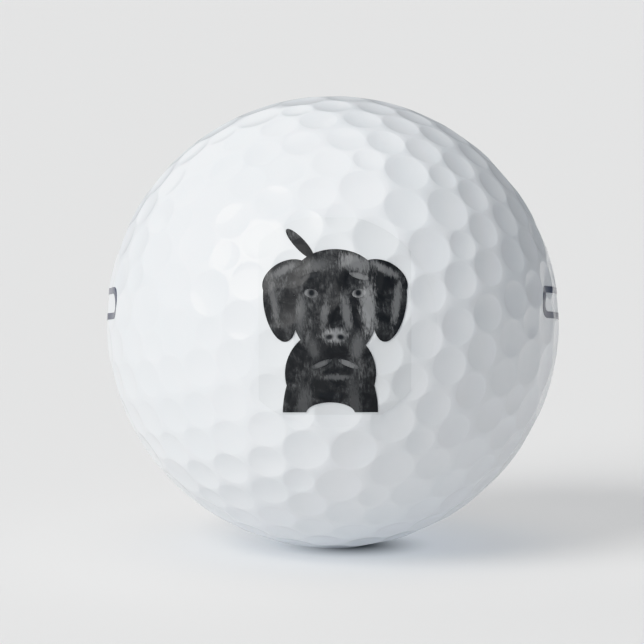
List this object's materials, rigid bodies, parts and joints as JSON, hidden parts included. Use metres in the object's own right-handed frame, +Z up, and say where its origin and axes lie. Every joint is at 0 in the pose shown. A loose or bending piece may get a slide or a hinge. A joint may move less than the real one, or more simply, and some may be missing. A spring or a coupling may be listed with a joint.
{
  "type": "golf ball",
  "caption": "Dimpled white golf ball with a dark printed dog motif on its face and a plain ring stamp on each side, struck from a tee or putted",
  "frame": {"origin": "the ball's centre", "axes": "+Z up as the ball lies, -Y toward the printed motif, +X to the motif's right as a viewer sees it; the dimple layout's pole leans 18.6 degrees from +Z toward -X"},
  "size_m": [0.0428, 0.0428, 0.0426],
  "materials": {
    "core_rubber": "matt moulded rubber",
    "mantle_resin": "moulded ionomer resin",
    "cover_white": "white moulded cover under a clear gloss coat",
    "disc_coat": "thin clear round coat",
    "base_coat": "thin pale base coat",
    "grey_ink": "thin printed ink",
    "dark_ink": "thin printed ink",
    "stamp_ink": "thin navy ink under clear coat"
  },
  "bodies": {
    "root": {"core": "core_rubber", "mantle": "mantle_resin", "cover": "cover_white", "print_disc": "disc_coat", "print_base": "base_coat", "print_grey_ink": "grey_ink", "print_dark_ink": "dark_ink", "side_stamp_left": "stamp_ink", "side_stamp_right": "stamp_ink"}
  },
  "joints": []
}
